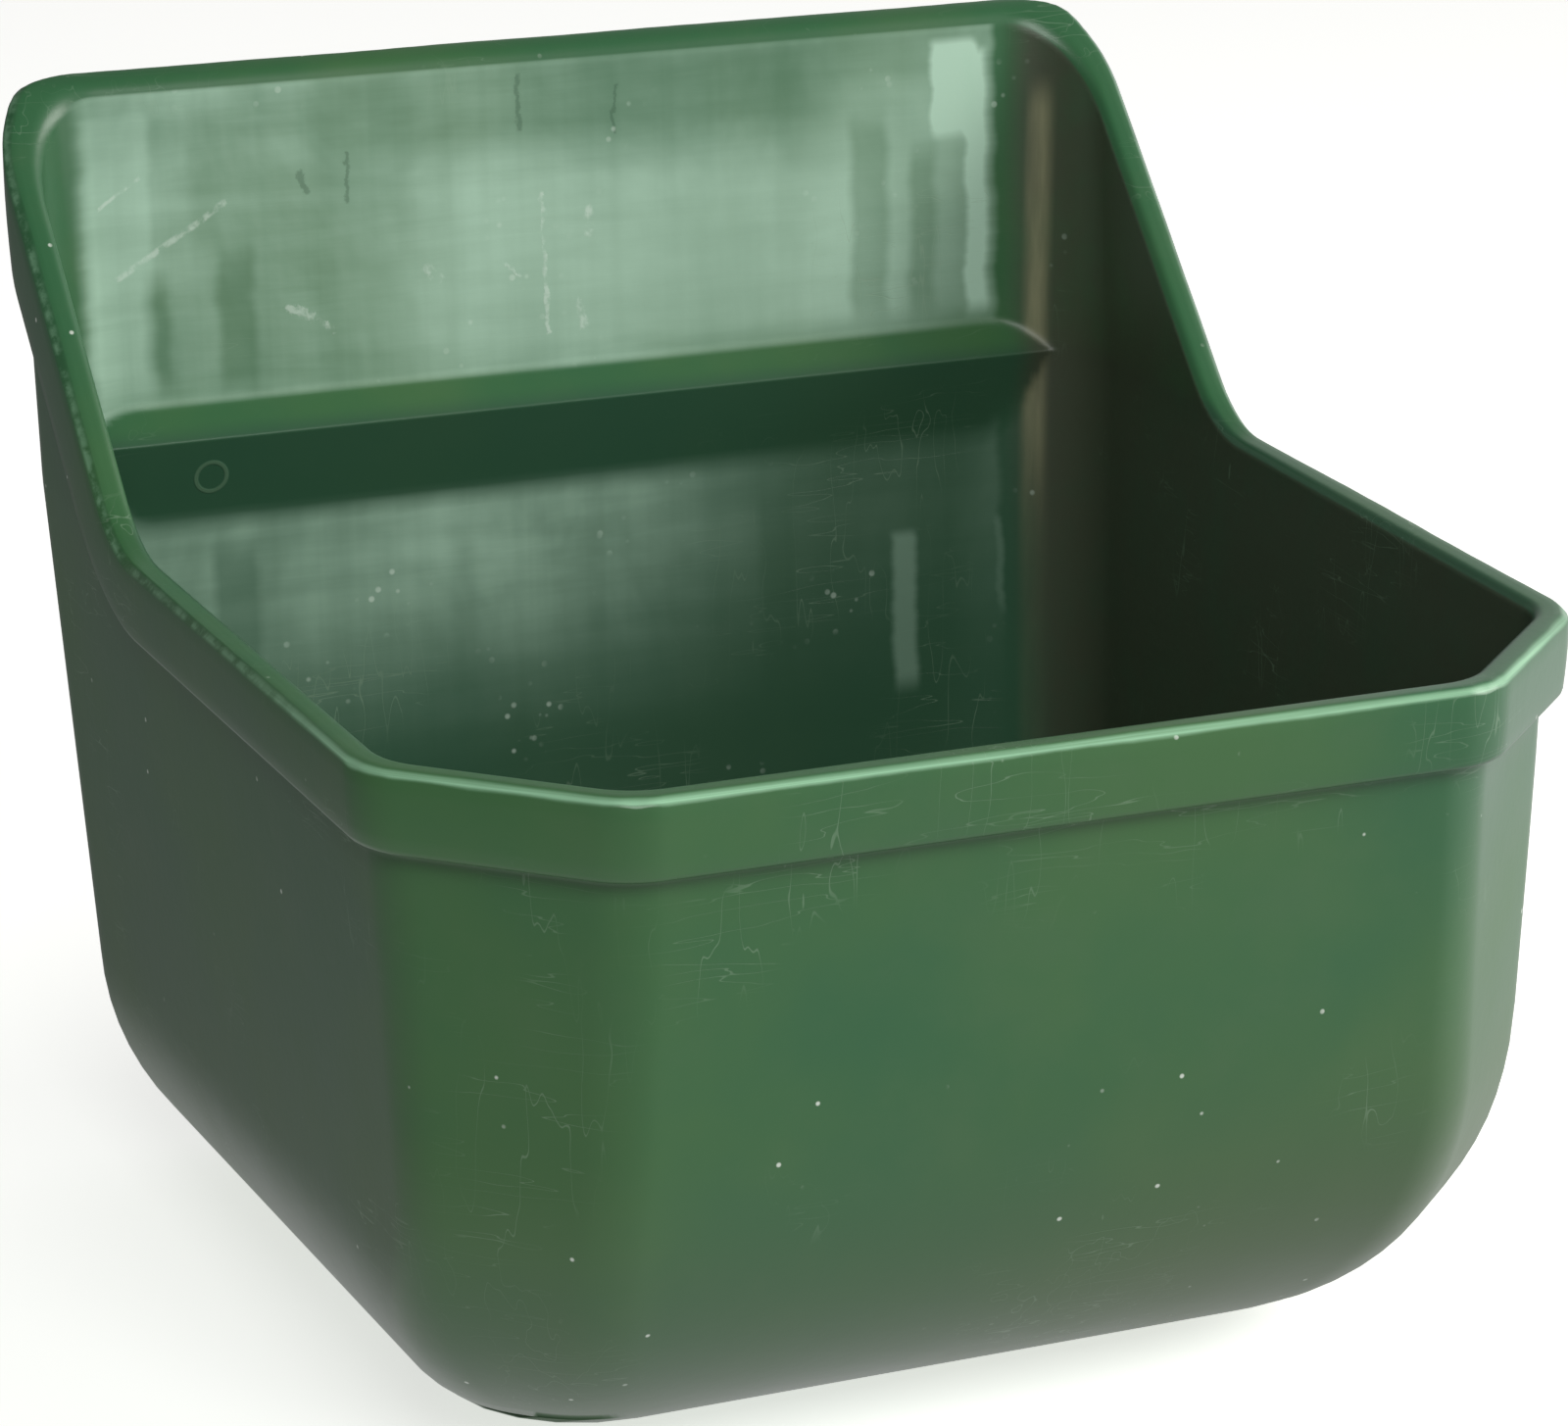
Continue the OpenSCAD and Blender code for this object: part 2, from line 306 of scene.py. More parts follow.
def fit_level(level, base, top):
    """A row's height where the wall stops at top: its own height where the wall is tall enough.

    base is the floor's height there. Rows above the knee are shared out over the rest."""
    if level <= KNEE_LOW:
        return base + level * (1 - base / top)
    knee = np.minimum(KNEE_HIGH, KNEE_LOW + (top - KNEE_LOW) * KNEE_SHARE)
    if level <= KNEE_HIGH:
        return KNEE_LOW + (level - KNEE_LOW) / (KNEE_HIGH - KNEE_LOW) * (knee - KNEE_LOW)
    return knee + (level - KNEE_HIGH) / (BACK_H - KNEE_HIGH) * (top - knee)


def solve(height, inset, t, outside=False):
    """x, y, z of a row whose height depends on how far back each of its points lies."""
    z = np.full(COLUMNS.count, 190.0)
    for _ in range(8):
        x, y = COLUMNS.outline(z, inset, t, outside)
        z = height(y)
    return x, y, z


def trough_rows():
    """Every row of the shell from the middle of the base, up the outside and down the inside.

    Each row is (points, inner, edge, rib): inner is 1 inside the tub, edge is 1 on the trimmed
    lip, and rib is 1 where the rib stands out from the wall."""
    rows = []
    turn = COLUMNS.turn
    trim = TRIM * (1 + 0.14 * waves(turn * 5, 0, 3) + 0.05 * waves(turn * 23, 0, 4))

    def keep(x, y, z, inner=0.0, edge=0.0, rib=0.0):
        rows.append((np.stack([x, y, z], 1), inner, edge, rib + np.zeros(COLUMNS.count)))

    def floor(z, inset, t, outward):
        x, y = COLUMNS.outline(z, inset, t, outward)
        middle = (y.max() + y.min()) / 2
        shares = np.linspace(0.12, 0.92, 6)
        for share in shares if outward else shares[::-1]:
            keep(x * share, middle + (y - middle) * share, np.full(COLUMNS.count, z),
                 0.0 if outward else 1.0)

    def wall(level, base, top_of, inset, t, add, amount, inner):
        height = lambda y: fit_level(level, base, top_of(y))
        ripple = amount * smooth(30, 90, level) * smooth(BACK_H, BACK_H - 40, level)
        if inner == 0:
            ripple = ripple * COLUMNS.clear_of_back
        x, y, z = solve(height, inset + ripple * waves(turn, level, 5), t, t == 0)
        new_y = add(x, y, z)
        keep(x, new_y, z, inner, 0.0, inner * np.clip((y - new_y) / 1.2, 0, 1))

    outer_top = lambda y: band_low_z(y) - FILLET_R
    floor(0.0, BAND_STEP, 0.0, True)
    for level in LEVELS:
        wall(level, 0.0, outer_top, BAND_STEP, 0.0, add_groove, OUTER_RIPPLE, 0.0)
    for a in np.radians([18, 36, 54, 72, 90]):
        keep(*solve(lambda y: band_low_z(y) - FILLET_R * (1 - math.sin(a)),
                    BAND_STEP - FILLET_R * (1 - math.cos(a)), 0.0, True))
    for a in np.radians([0, 30, 60, 90]):
        keep(*solve(lambda y: band_low_z(y) + BAND_EDGE_R * (1 - math.cos(a)),
                    BAND_EDGE_R * (1 - math.sin(a)), 0.0, True))
    for share in (0.2, 0.4, 0.6, 0.8):
        keep(*solve(lambda y: (1 - share) * (band_low_z(y) + BAND_EDGE_R)
                    + share * (rim_z(y) - trim * rim_stretch(y)),
                    -0.25 * math.sin(math.pi * share), 0.0))
    for across, down, edge in TRIM_ROWS:
        keep(*solve(lambda y: rim_z(y) - down * trim * rim_stretch(y), across * trim, 0.0),
             0.0, edge)
    lip_start = TRIM * 1.4
    for share in (0.35, 0.7, 1.0):
        inset = lip_start + (LIP_W - LIP_IN_R - lip_start) * share
        keep(*solve(lambda y: rim_z(y) - LIP_SAG * share, inset, WALL * inset / LIP_W), 0.1)
    for a in np.radians([18, 36, 54, 72, 90]):
        inset = LIP_W - LIP_IN_R * (1 - math.sin(a))
        keep(*solve(lambda y: rim_z(y) - LIP_SAG - LIP_IN_R * (1 - math.cos(a)) * rim_stretch(y),
                    inset, WALL * inset / LIP_W), 0.4 + 0.6 * math.sin(a))
    inner_top = lambda y: rim_z(y) - LIP_SAG - (LIP_IN_R + 0.4) * rim_stretch(y)
    for level in LEVELS[::-1]:
        wall(level, WALL, inner_top, LIP_W, WALL, add_rib, INNER_RIPPLE, 1.0)
    floor(WALL, LIP_W, WALL, False)
    return rows


def make_mesh(name, verts, faces, floats=None):
    """A smooth mesh object from points in millimetres, with optional named float attributes."""
    mesh = bpy.data.meshes.new(name)
    mesh.from_pydata([tuple(v) for v in np.asarray(verts) * MM], [], faces)
    mesh.validate()
    for key, values in (floats or {}).items():
        attribute = mesh.attributes.new(key, "FLOAT", "POINT")
        attribute.data.foreach_set("value", np.asarray(values, np.float32))
    mesh.polygons.foreach_set("use_smooth", [True] * len(mesh.polygons))
    obj = bpy.data.objects.new(name, mesh)
    bpy.context.scene.collection.objects.link(obj)
    return obj


def make_trough():
    rows = trough_rows()
    n = COLUMNS.count
    verts = np.concatenate([r[0] for r in rows])
    inner = np.repeat([r[1] for r in rows], n)
    edge = np.repeat([r[2] for r in rows], n)
    rib = np.concatenate([r[3] for r in rows] + [np.zeros(2)])
    faces = []
    for j in range(len(rows) - 1):
        for i in range(n):
            k = (i + 1) % n
            faces.append((j * n + i, (j + 1) * n + i, (j + 1) * n + k, j * n + k))
    last = (len(rows) - 1) * n
    middle = len(verts)
    verts = np.concatenate([verts, [rows[0][0].mean(0), rows[-1][0].mean(0)]])
    for i in range(n):
        k = (i + 1) % n
        faces.append((middle, i, k))
        faces.append((middle + 1, last + k, last + i))
    inner = np.append(inner, [0.0, 1.0])
    edge = np.append(edge, [0.0, 0.0])
    return make_mesh("trough_moulding", verts, faces, {"inner": inner, "edge": edge, "rib": rib})


def make_boss(name, side):
    """A screw boss behind the rib: a round post with a blind hole, turned from its side view."""
    back = BACK_Y - BAND_STEP - BACK_DRAFT * (BACK_H - RIB_TOP)
    face_d = rib_depth(BOSS_Z + BOSS_R) + BACK_DRAFT * (RIB_TOP - BOSS_Z) - WALL * 0.08
    front = back - face_d - 0.6
    hole = back - 5.6
    outline = [(0, hole), (PILOT_R * 0.7, hole + 0.2), (PILOT_R, hole + 0.9), (PILOT_R, back - 0.3),
               (PILOT_R + 0.3, back), (BOSS_R - 0.5, back), (BOSS_R - 0.15, back - 0.15),
               (BOSS_R, back - 0.5), (BOSS_R, front), (0, front)]
    turns = 40
    verts, faces = [], []
    for r, y in outline:
        for a in np.linspace(0, 2 * math.pi, turns, endpoint=False):
            verts.append((side * BOSS_X + r * math.cos(a), y, BOSS_Z + r * math.sin(a)))
    for j in range(len(outline) - 1):
        for i in range(turns):
            k = (i + 1) % turns
            faces.append((j * turns + i, j * turns + k, (j + 1) * turns + k, (j + 1) * turns + i))
    boss = make_mesh(name, verts, faces)
    bm = bmesh.new()
    bm.from_mesh(boss.data)
    bmesh.ops.remove_doubles(bm, verts=bm.verts, dist=1e-6)
    bmesh.ops.recalc_face_normals(bm, faces=bm.faces)
    bm.to_mesh(boss.data)
    bm.free()
    return boss


# ---------------------------------------------------------------- materials

class Nodes:
    """Short calls for building one material's node tree."""

    def __init__(self, name):
        self.material = bpy.data.materials.new(name)
        self.material.use_nodes = True
        self.tree = self.material.node_tree
        self.shader = self.tree.nodes["Principled BSDF"]

    def add(self, kind, **settings):
        node = self.tree.nodes.new(kind)
        for key, value in settings.items():
            setattr(node, key, value)
        return node

    def put(self, value, socket):
        if isinstance(value, bpy.types.NodeSocket):
            self.tree.links.new(value, socket)
        else:
            socket.default_value = value

    def math(self, op, a, b=0.0, clamp=False, add=0.0):
        node = self.add("ShaderNodeMath", operation=op, use_clamp=clamp)
        for socket, value in zip(node.inputs, (a, b, add)):
            self.put(value, socket)
        return node.outputs[0]

    def span(self, value, low, high, to_low=0.0, to_high=1.0):
        """value from low to high becomes to_low to to_high, smoothly, and stays there beyond."""
        node = self.add("ShaderNodeMapRange", interpolation_type="SMOOTHSTEP")
        for socket, v in zip(node.inputs, (value, low, high, to_low, to_high)):
            self.put(v, socket)
        return node.outputs[0]

    def position(self):
        return self.add("ShaderNodeTexCoord").outputs["Object"]

    def split(self, vector):
        node = self.add("ShaderNodeSeparateXYZ")
        self.put(vector, node.inputs[0])
        return node.outputs

    def scaled(self, vector, scale):
        node = self.add("ShaderNodeMapping")
        self.put(vector, node.inputs["Vector"])
        node.inputs["Scale"].default_value = scale
        return node.outputs[0]

    def noise(self, vector, scale, detail=3.0, rough=0.55, distortion=0.0):
        node = self.add("ShaderNodeTexNoise")
        self.put(vector, node.inputs["Vector"])
        for key, v in (("Scale", scale), ("Detail", detail), ("Roughness", rough),
                       ("Distortion", distortion)):
            node.inputs[key].default_value = v
        return node.outputs["Fac"]

    def speckle(self, vector, scale, radius):
        """Small round spots: 1 inside radius (a share of the spacing), 0 outside."""
        node = self.add("ShaderNodeTexVoronoi")
        self.put(vector, node.inputs["Vector"])
        node.inputs["Scale"].default_value = scale
        return self.span(node.outputs["Distance"], radius * 0.5, radius, 1.0, 0.0)

    def times(self, first, *rest):
        for value in rest:
            first = self.math("MULTIPLY", first, value)
        return first

    def sway(self, noise, amount):
        """A noise from 0 to 1 turned into a shift of at most half of amount each way."""
        return self.math("MULTIPLY", self.math("SUBTRACT", noise, 0.5), amount)

    def radius(self, a, b):
        """The length of the flat vector (a, b)."""
        return self.math("SQRT", self.math("ADD", self.math("MULTIPLY", a, a),
                                           self.math("MULTIPLY", b, b)))

    def lower(self, value, factor):
        """value where factor is 0, falling to 0 where factor is 1."""
        return self.math("MULTIPLY", value, self.math("SUBTRACT", 1.0, factor))

    def around(self, value, centre, half, soft):
        """1 within half of centre, falling to 0 over a further soft."""
        return self.span(self.math("ABSOLUTE", self.math("SUBTRACT", value, centre)),
                         half, half + soft, 1.0, 0.0)

    def stroke(self, x, z, start, end, width):
        """1 along the line from start to end on the back wall, falling to 0 at width."""
        dx, dz = end[0] - start[0], end[1] - start[1]
        along = self.math("ADD", self.math("MULTIPLY", self.math("SUBTRACT", x, start[0]), dx),
                          self.math("MULTIPLY", self.math("SUBTRACT", z, start[1]), dz))
        share = self.math("DIVIDE", along, dx * dx + dz * dz, clamp=True)
        ex = self.math("SUBTRACT", x, self.math("MULTIPLY_ADD", share, dx, add=start[0]))
        ez = self.math("SUBTRACT", z, self.math("MULTIPLY_ADD", share, dz, add=start[1]))
        return self.span(self.radius(ex, ez), width * 0.3, width, 1.0, 0.0)

    def mix(self, factor, a, b):
        node = self.add("ShaderNodeMix", data_type="RGBA")
        self.put(factor, node.inputs[0])
        self.put(a, node.inputs[6])
        self.put(b, node.inputs[7])
        return node.outputs[2]

    def attribute(self, name):
        return self.add("ShaderNodeAttribute", attribute_name=name).outputs["Fac"]

    def bump(self, height, distance, strength=1.0, after=None):
        node = self.add("ShaderNodeBump")
        self.put(height, node.inputs["Height"])
        node.inputs["Distance"].default_value = distance
        node.inputs["Strength"].default_value = strength
        if after is not None:
            self.put(after, node.inputs["Normal"])
        return node.outputs[0]

    def finish(self, color, rough, normal=None, metallic=0.0, ior=1.5):
        self.put(color, self.shader.inputs["Base Color"])
        self.put(rough, self.shader.inputs["Roughness"])
        self.shader.inputs["Metallic"].default_value = metallic
        self.shader.inputs["IOR"].default_value = ior
        if normal is not None:
            self.put(normal, self.shader.inputs["Normal"])
        return self.material


# Marks on the inside of the back wall, in metres across (x) and up (z). The dark and light columns
# are painted reflection bands in the painted sheen.
SHEEN_DARK_BANDS = (  # centre, half width, low, high, strength
    (-0.115, 0.0012, 0.205, 0.245, 0.5), (-0.0935, 0.0030, 0.203, 0.252, 0.45),
    (0.089, 0.0035, 0.205, 0.272, 0.4), (0.105, 0.0018, 0.205, 0.262, 0.4),
    (-0.097, 0.0040, 0.080, 0.172, 0.45), (0.060, 0.0030, 0.100, 0.168, 0.3))
# painted highlights: narrow bright upright columns that stand in for glossy reflections where the
# wall curves
PAINTED_HIGHLIGHT_BANDS = (
    (-0.1255, 0.0080, 0.205, 0.285, 0.35), (0.1150, 0.0050, 0.256, 0.287, 1.3),
    (0.1215, 0.0016, 0.206, 0.284, 1.1), (0.0985, 0.0020, 0.100, 0.150, 0.5),
    (0.1300, 0.0018, 0.120, 0.152, 0.5))
SCRATCHES = (  # start, end, width
    ((-0.129, 0.260), (-0.118, 0.267), 0.0007), ((-0.126, 0.240), (-0.096, 0.258), 0.0012),
    ((-0.007, 0.253), (-0.006, 0.215), 0.0009), ((-0.018, 0.236), (-0.014, 0.231), 0.0007),
    ((0.007, 0.248), (0.007, 0.242), 0.0016), ((0.003, 0.223), (0.004, 0.216), 0.0015),
    ((-0.040, 0.236), (-0.037, 0.232), 0.0016), ((-0.079, 0.229), (-0.067, 0.221), 0.0011))
NICKS = (
    ((-0.013, 0.285), (-0.0135, 0.270), 0.0009), ((0.015, 0.280), (0.0145, 0.268), 0.0009),
    ((-0.075, 0.264), (-0.073, 0.259), 0.0012), ((-0.062, 0.268), (-0.0615, 0.256), 0.0008))


def back_haze_and_sheen(n, p, x, z, wall):
    """Pale scuffing and painted sheen on the inside of the back wall: streaked, mottled and thinner
    lower down, as painted shade.
    """
    wx = n.math("ADD", x, n.sway(n.noise(n.scaled(p, (1.0, 1.0, 14.0)), 7.0, 3.0), 0.004))
    level = n.noise(n.scaled(p, (5.0, 1.0, 45.0)), 2.2, 4.0, 0.6, 0.3)
    upright = n.noise(n.scaled(p, (60.0, 1.0, 1.5)), 1.6, 3.0, 0.6)
    broad = n.noise(n.scaled(p, (1.3, 1.0, 1.0)), 11.0, 4.0, 0.62, 0.5)
    haze_and_sheen = n.times(n.span(level, 0.25, 0.75, 0.78, 1.1), n.span(upright, 0.25, 0.75, 0.84, 1.08),
                   n.span(broad, 0.32, 0.68, 0.62, 1.15))
    above = n.span(z, 0.200, 0.212)
    # painted shade: below the rib the pale layer fades downwards, more so towards the right
    falling = n.math("MULTIPLY", n.span(z, 0.095, 0.172, 0.04, 1.05),
                     n.span(x, 0.080, -0.020, 0.18, 1.0))
    haze_and_sheen = n.math("MULTIPLY", haze_and_sheen, n.math("MAXIMUM", falling, n.math("MULTIPLY", above, 0.80)))
    # painted sheen: brighter patches in the middle and high on the right
    centre = n.times(n.around(x, 0.030, 0.030, 0.075), n.around(z, 0.232, 0.010, 0.034), 0.75)
    right = n.times(n.around(x, 0.098, 0.014, 0.020), n.around(z, 0.245, 0.020, 0.030), 0.40)
    haze_and_sheen = n.math("ADD", n.math("ADD", haze_and_sheen, centre), right)
    haze_and_sheen = n.lower(haze_and_sheen, n.times(n.around(x, 0.005, 0.05, 0.05),
                                 n.around(z, 0.278, 0.006, 0.012), 0.35))
    # painted reflection: narrow upright bands where the painted sheen is darker
    for cx, half, low, high, amount in SHEEN_DARK_BANDS:
        reach = n.math("MULTIPLY", n.span(z, low, low + 0.012), n.span(z, high, high - 0.012))
        haze_and_sheen = n.lower(haze_and_sheen, n.times(n.around(wx, cx, half, 0.004), reach, amount))
    # painted highlights: bright upright columns added to the sheen
    for cx, half, low, high, amount in PAINTED_HIGHLIGHT_BANDS:
        reach = n.math("MULTIPLY", n.span(z, low, low + 0.008), n.span(z, high, high - 0.004))
        haze_and_sheen = n.math("ADD", haze_and_sheen, n.times(n.around(wx, cx, half, 0.003), reach, amount))
    haze_and_sheen = n.times(haze_and_sheen, n.span(wx, -0.1385, -0.131), n.span(wx, 0.1285, 0.1255))
    return n.math("MULTIPLY", haze_and_sheen, wall)


def corner_reflection_streak(n, p, x, z):
    """Strength of the painted reflection streak, khaki, down the right back corner."""
    lean = n.math("MULTIPLY", n.math("SUBTRACT", 0.24, z), 0.04)
    grain = n.noise(n.scaled(p, (60.0, 60.0, 6.0)), 3.0, 3.0)
    return n.times(n.around(n.math("ADD", x, lean), 0.1385, 0.0008, 0.0034),
                   n.span(z, 0.125, 0.205, 0.1, 1.0), n.span(z, 0.276, 0.262),
                   n.span(grain, 0.3, 0.7, 0.5, 1.0))


def strokes(n, x, z, lines):
    total = 0.0
    for start, end, width in lines:
        total = n.math("MAXIMUM", total, n.stroke(x, z, start, end, width))
    return total


def hair_scratches(n, p):
    """Fine level and upright hair lines, in patches."""
    level = n.noise(n.scaled(p, (7.0, 7.0, 70.0)), 3.0, 2.0, 0.5, 0.2)
    upright = n.noise(n.scaled(p, (40.0, 40.0, 6.0)), 2.6, 2.0, 0.5, 0.2)
    lines = n.math("MAXIMUM", n.around(level, 0.5, 0.0015, 0.004),
                   n.around(upright, 0.5, 0.0010, 0.003))
    return n.math("MULTIPLY", lines, n.span(n.noise(p, 20.0, 2.0), 0.52, 0.68))


def lip_paleness(n, p, x, y):
    """The lip's trimmed edge: smooth and pale along the front, dull and torn towards the back."""
    front = n.span(y, -0.06, -0.15)
    lines = n.noise(n.scaled(p, (3.0, 3.0, 500.0)), 4.0, 3.0, 0.6)
    torn = n.span(n.noise(p, 130.0, 4.0, 0.7), 0.40, 0.62)
    pale = n.math("ADD", n.times(front, n.span(lines, 0.3, 0.7, 0.65, 1.0)),
                  n.times(n.math("SUBTRACT", 1.0, front), torn, 0.38))
    return n.times(pale, n.span(x, 0.16, 0.12, 0.5, 1.0))


def green_plastic():
    n = Nodes("green_plastic")
    p = n.position()
    x, y, z = n.split(p)
    inner = n.attribute("inner")
    outer = n.math("SUBTRACT", 1.0, inner)
    rib = n.attribute("rib")
    off_rib = n.math("SUBTRACT", 1.0, rib)
    full_inside = n.span(inner, 0.93, 0.995)
    cloud = n.noise(p, 9.0, 4.0)
    mottle = n.noise(p, 34.0, 5.0, 0.65)

    # the plastic: clouded green, darkened to teal inside the tub as painted shade, olive low on the
    # outside
    color = n.mix(n.span(cloud, 0.35, 0.7), (0.033, 0.128, 0.052, 1), (0.052, 0.146, 0.048, 1))
    color = n.mix(n.span(mottle, 0.45, 0.75, 0.0, 0.22), color, (0.075, 0.150, 0.070, 1))
    # painted shade: inside the tub, from the rib down, the green is darkened to teal
    painted_teal_shade = n.times(inner, n.span(z, 0.202, 0.196))
    color = n.mix(n.math("MULTIPLY", painted_teal_shade, 0.75), color, (0.030, 0.082, 0.052, 1))
    olive = n.times(outer, n.span(z, 0.13, 0.03), n.span(x, -0.06, 0.08, 0.35, 0.8))
    color = n.mix(olive, color, (0.072, 0.128, 0.045, 1))

    wall = n.times(n.span(y, 0.1050, 0.1110), full_inside, off_rib)
    # pale scuffing with painted sheen and painted shade on the inside of the back wall
    haze_and_sheen = back_haze_and_sheen(n, p, x, z, wall)
    color = n.mix(n.math("MULTIPLY", haze_and_sheen, 0.56, clamp=True), color, (0.45, 0.66, 0.52, 1))

    # painted shade with some grime: olive brown on the inside towards the right; a painted
    # reflection streak in the corner; dust low down
    shade_and_grime = n.times(n.span(x, 0.128, 0.139), full_inside, n.span(mottle, 0.25, 0.6, 0.75, 1.0))
    color = n.mix(n.math("MULTIPLY", shade_and_grime, 0.86), color, (0.060, 0.062, 0.040, 1))
    # painted reflection: a khaki streak down the right back corner
    corner_reflection = n.times(corner_reflection_streak(n, p, x, z), n.span(y, 0.070, 0.085), full_inside, off_rib)
    color = n.mix(n.math("MULTIPLY", corner_reflection, 0.75), color, (0.30, 0.29, 0.17, 1))
    low_dust = n.times(inner, n.span(z, 0.05, 0.01), n.span(mottle, 0.4, 0.7))
    color = n.mix(n.math("MULTIPLY", low_dust, 0.4), color, (0.10, 0.11, 0.06, 1))

    # scratches, nicks and scuffs on the back wall
    bent = n.sway(n.noise(p, 120.0, 5.0, 0.7), 0.0060)
    sx, sz = n.math("ADD", x, bent), n.math("ADD", z, bent)
    broken = n.span(n.noise(p, 300.0, 3.0), 0.38, 0.62, 0.0, 0.42)
    marks = n.times(strokes(n, sx, sz, SCRATCHES), wall, broken)
    color = n.mix(marks, color, (0.74, 0.84, 0.76, 1))
    nicks = n.times(strokes(n, sx, sz, NICKS), wall, 0.4)
    color = n.mix(nicks, color, (0.03, 0.09, 0.045, 1))
    patches = n.span(n.noise(p, 26.0, 3.0), 0.56, 0.68)
    scuffs = n.times(n.speckle(p, 210.0, 0.24), patches, wall, 0.5)
    color = n.mix(scuffs, color, (0.68, 0.80, 0.70, 1))

    # hair scratches all over, and white specks on the outside
    hairs = hair_scratches(n, p)
    color = n.mix(n.math("MULTIPLY", hairs, 0.28), color, (0.30, 0.42, 0.30, 1))
    specks = n.times(n.speckle(p, 95.0, 0.075), n.span(n.noise(p, 55.0, 1.0), 0.5, 0.6), outer)
    color = n.mix(n.math("MULTIPLY", specks, 0.85), color, (0.72, 0.78, 0.70, 1))
    pale = n.math("MULTIPLY", n.attribute("edge"), lip_paleness(n, p, x, y))
    color = n.mix(pale, color, (0.34, 0.62, 0.40, 1))

    # faint round mark of the left boss on the rib's face
    away = n.radius(n.math("SUBTRACT", x, -0.104), n.math("SUBTRACT", z, 0.1865))
    ring = n.times(n.around(away, 0.0042, 0.0003, 0.0005), rib, inner)
    color = n.mix(n.math("MULTIPLY", ring, 0.45), color, (0.14, 0.24, 0.15, 1))

    brushed = n.noise(n.scaled(p, (30.0, 30.0, 900.0)), 3.0, 3.0)
    raised = n.math("SUBTRACT", marks, n.math("ADD", nicks, n.math("MULTIPLY", hairs, 0.3)))
    normal = n.bump(n.noise(p, 420.0, 3.0), 0.00005, 0.5)
    normal = n.bump(n.noise(p, 46.0, 3.0, 0.5), 0.00025, 0.35, normal)
    normal = n.bump(n.math("MULTIPLY", brushed, inner), 0.00005, 0.4, normal)
    normal = n.bump(raised, 0.00012, 0.6, normal)
    normal = n.bump(ring, 0.0002, 0.6, normal)
    rough = n.math("ADD", n.span(cloud, 0.3, 0.7, 0.30, 0.38), n.math("MULTIPLY", haze_and_sheen, 0.2))
    rough = n.math("ADD", rough, n.math("MULTIPLY", shade_and_grime, 0.12))
    return n.finish(color, rough, normal)


def zinc(name, light, dark, spangle, rough):
    """Zinc-coated steel: soft crystal patches, dull spots and fine drawing lines."""
    n = Nodes(name)
    p = n.position()
    cells = n.add("ShaderNodeTexVoronoi")
    n.put(p, cells.inputs["Vector"])
    cells.inputs["Scale"].default_value = spangle
    cloud = n.noise(p, 60.0, 4.0, 0.6)
    shade = n.math("ADD", n.math("MULTIPLY", n.split(cells.outputs["Color"])[0], 0.5),
                   n.math("MULTIPLY", cloud, 0.5))
    color = n.mix(n.span(shade, 0.25, 0.75), dark, light)
    bloom = n.span(n.noise(p, 130.0, 5.0, 0.7), 0.55, 0.75)
    color = n.mix(n.math("MULTIPLY", bloom, 0.5), color, (0.60, 0.61, 0.60, 1))
    fine = n.noise(n.scaled(p, (1.0, 6.0, 6.0)), 300.0, 3.0)
    normal = n.bump(fine, 0.00004, 0.5)
    normal = n.bump(shade, 0.00006, 0.4, normal)
    roughness = n.math("ADD", n.span(shade, 0.2, 0.8, rough, rough + 0.16),
                       n.math("MULTIPLY", bloom, 0.2))
    return n.finish(color, roughness, normal, metallic=0.9)


def vinyl():
    """Dipped black vinyl: satin, slightly lumpy, with grey rub marks."""
    n = Nodes("black_vinyl")
    p = n.position()
    lumps = n.noise(p, 90.0, 3.0)
    rubbed = n.span(n.noise(p, 210.0, 5.0, 0.7), 0.52, 0.72)
    color = n.mix(n.math("MULTIPLY", rubbed, 0.6),
                  (0.012, 0.012, 0.013, 1), (0.075, 0.074, 0.070, 1))
    normal = n.bump(lumps, 0.0002, 0.5)
    normal = n.bump(n.noise(p, 900.0, 2.0), 0.00003, 0.5, normal)
    return n.finish(color, n.span(lumps, 0.3, 0.7, 0.38, 0.52), normal)


# ---------------------------------------------------------------- pieces

plastic = green_plastic()
trough = make_trough()
for piece in (trough, make_boss("screw_boss_left", -1), make_boss("screw_boss_right", 1)):
    piece.data.materials.append(plastic)
    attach(piece, "trough")
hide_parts("trough")

# The steel and vinyl pieces keep their CAD shapes and get their own finishes
galvanised = zinc("galvanised_steel", (0.56, 0.58, 0.60, 1), (0.36, 0.38, 0.41, 1), 150.0, 0.36)
bright_zinc = zinc("bright_zinc", (0.70, 0.71, 0.70, 1), (0.54, 0.54, 0.50, 1), 420.0, 0.22)
FINISHES = {"hanger_bar": galvanised, "clip_left": galvanised, "clip_right": galvanised,
            "clip_screw_left": bright_zinc, "clip_screw_right": bright_zinc}
black_vinyl = vinyl()
for node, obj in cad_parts.items():
    if node != "trough":
        for material_slot in obj.material_slots:
            material_slot.material = FINISHES.get(node, black_vinyl)

# ---------------------------------------------------------------- floor, light and camera

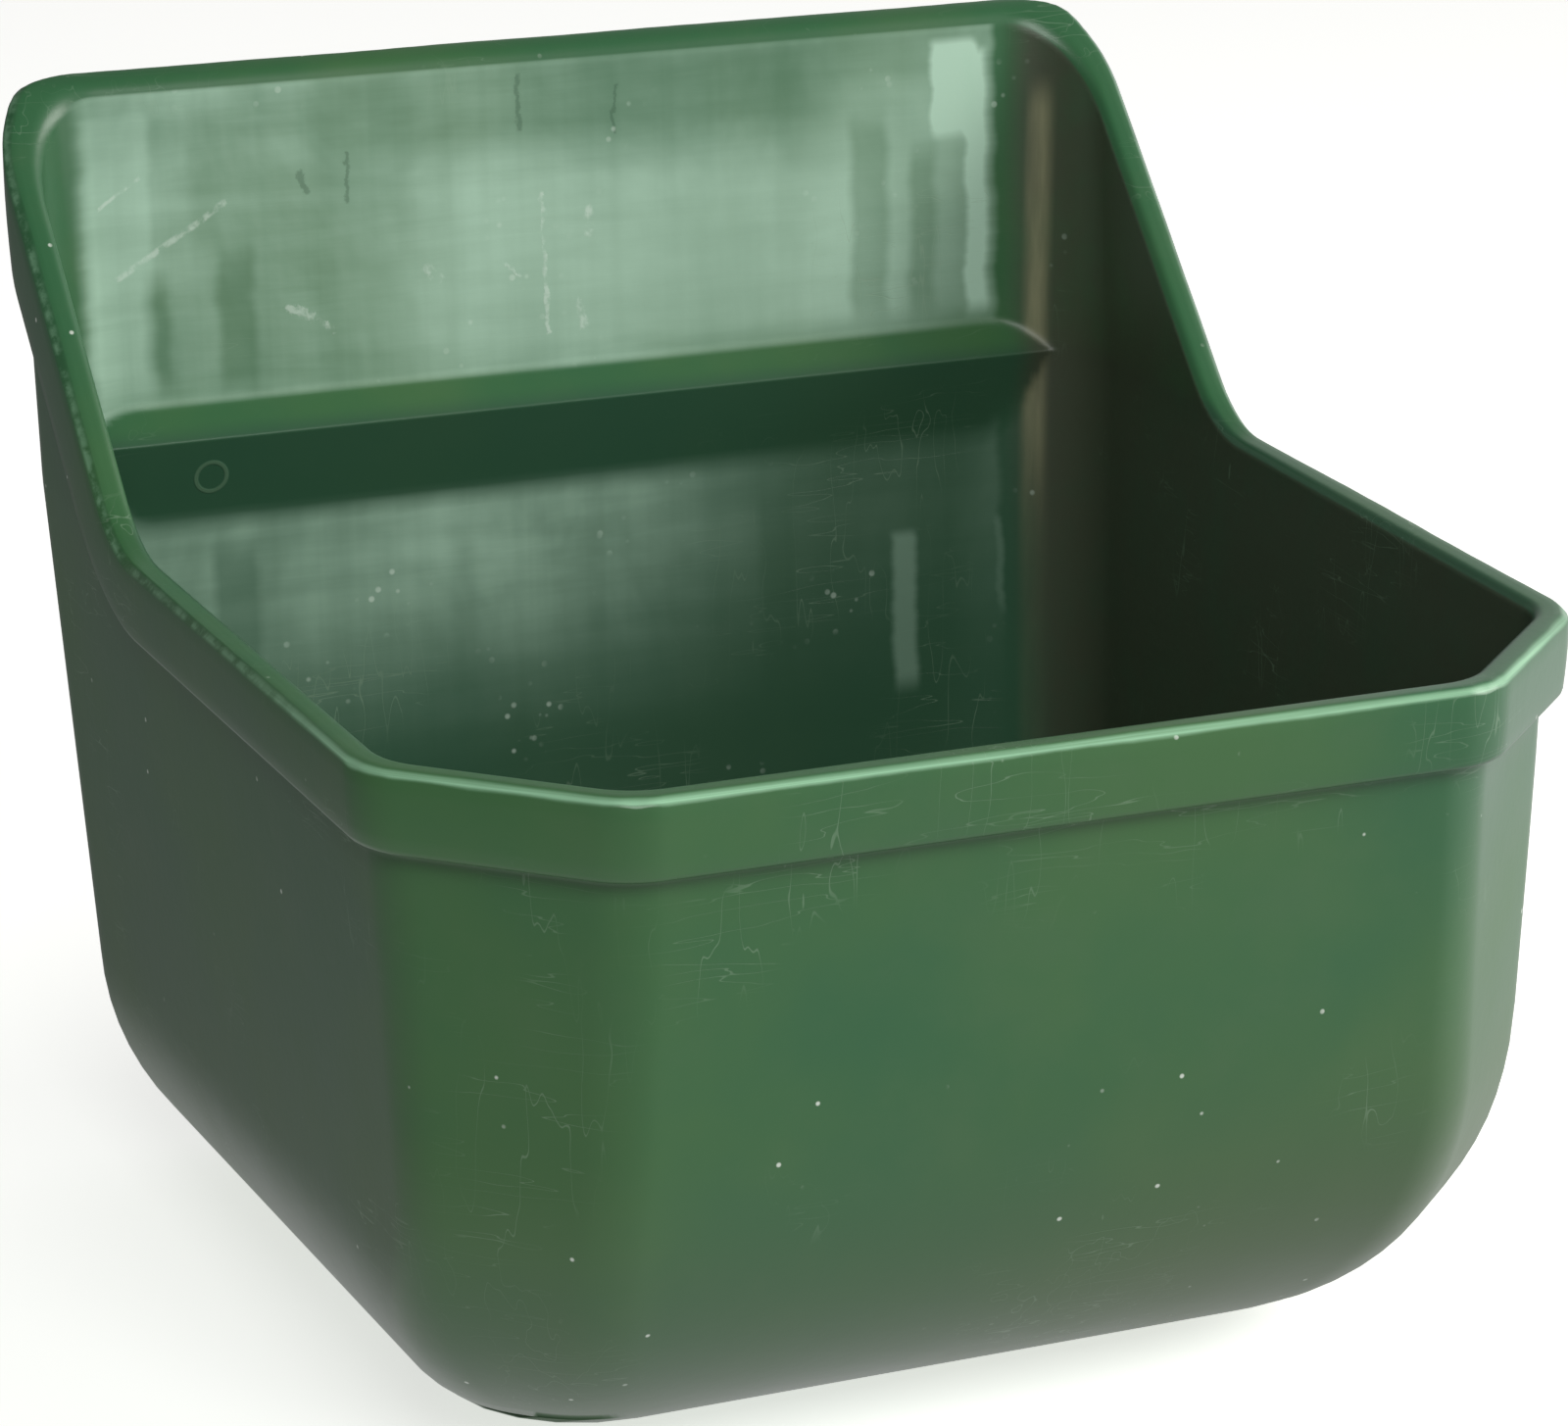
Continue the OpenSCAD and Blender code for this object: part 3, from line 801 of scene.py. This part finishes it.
def add_floor():
    verts = [(-6000, -6000, 0), (6000, -6000, 0), (6000, 6000, 0), (-6000, 6000, 0)]
    floor = make_mesh("floor", verts, [(0, 1, 2, 3)])
    n = Nodes("floor_paint")
    n.shader.inputs["Emission Color"].default_value = (1, 1, 0.98, 1)
    n.shader.inputs["Emission Strength"].default_value = 0.66
    floor.data.materials.append(n.finish((0.86, 0.86, 0.85, 1), 0.9))
    floor.visible_glossy = False
    floor.visible_diffuse = False


def add_light(name, location, target, size, watts, color=(1, 1, 1)):
    data = bpy.data.lights.new(name, "AREA")
    data.shape = "RECTANGLE"
    data.size, data.size_y = size
    data.energy = watts
    data.color = color
    light = bpy.data.objects.new(name, data)
    light.location = location
    light.rotation_euler = (Vector(target) - Vector(location)).to_track_quat("-Z", "Y").to_euler()
    bpy.context.scene.collection.objects.link(light)


def add_world():
    """Soft surround: dark to the left and behind, bright to the right, and white from below."""
    world = bpy.data.worlds.new("studio")
    world.use_nodes = True
    bpy.context.scene.world = world
    n = Nodes.__new__(Nodes)
    n.tree = world.node_tree
    background = n.tree.nodes["Background"]
    direction = n.add("ShaderNodeTexCoord").outputs["Generated"]
    x, _, z = n.split(direction)
    right = n.span(x, 0.1, 0.88, 0.20, 1.05)
    overhead = n.span(z, 0.25, 0.8, 1.0, 0.45)
    below = n.span(z, -0.22, -0.62, 0.0, 0.72)
    strength = n.math("MAXIMUM", n.math("MULTIPLY", right, overhead), below)
    n.put(strength, background.inputs["Strength"])
    background.inputs["Color"].default_value = (1, 1, 1, 1)


def add_camera():
    data = bpy.data.cameras.new("camera")
    data.lens = 126.92
    data.sensor_width = 36.0
    data.shift_x = 0.0167
    data.shift_y = 0.0229
    camera = bpy.data.objects.new("camera", data)
    camera.location = (-0.5168, -1.2497, 0.5581)
    aim = Vector((-0.0079, -0.0312, 0.1403)) - Vector(camera.location)
    tilt = Quaternion((0, 0, 1), math.radians(-0.37))
    camera.rotation_euler = (aim.to_track_quat("-Z", "Y") @ tilt).to_euler()
    bpy.context.scene.collection.objects.link(camera)
    bpy.context.scene.camera = camera


add_floor()
add_world()
add_light("front_soft", (-0.3, -1.6, 1.3), (0, 0, 0.12), (1.2, 0.8), 20.5, (0.97, 1, 0.96))
add_light("right_soft", (1.5, -0.6, 0.9), (0, 0, 0.12), (0.9, 0.9), 17, (1, 0.99, 0.93))
add_camera()
bpy.context.scene.view_settings.view_transform = "Standard"
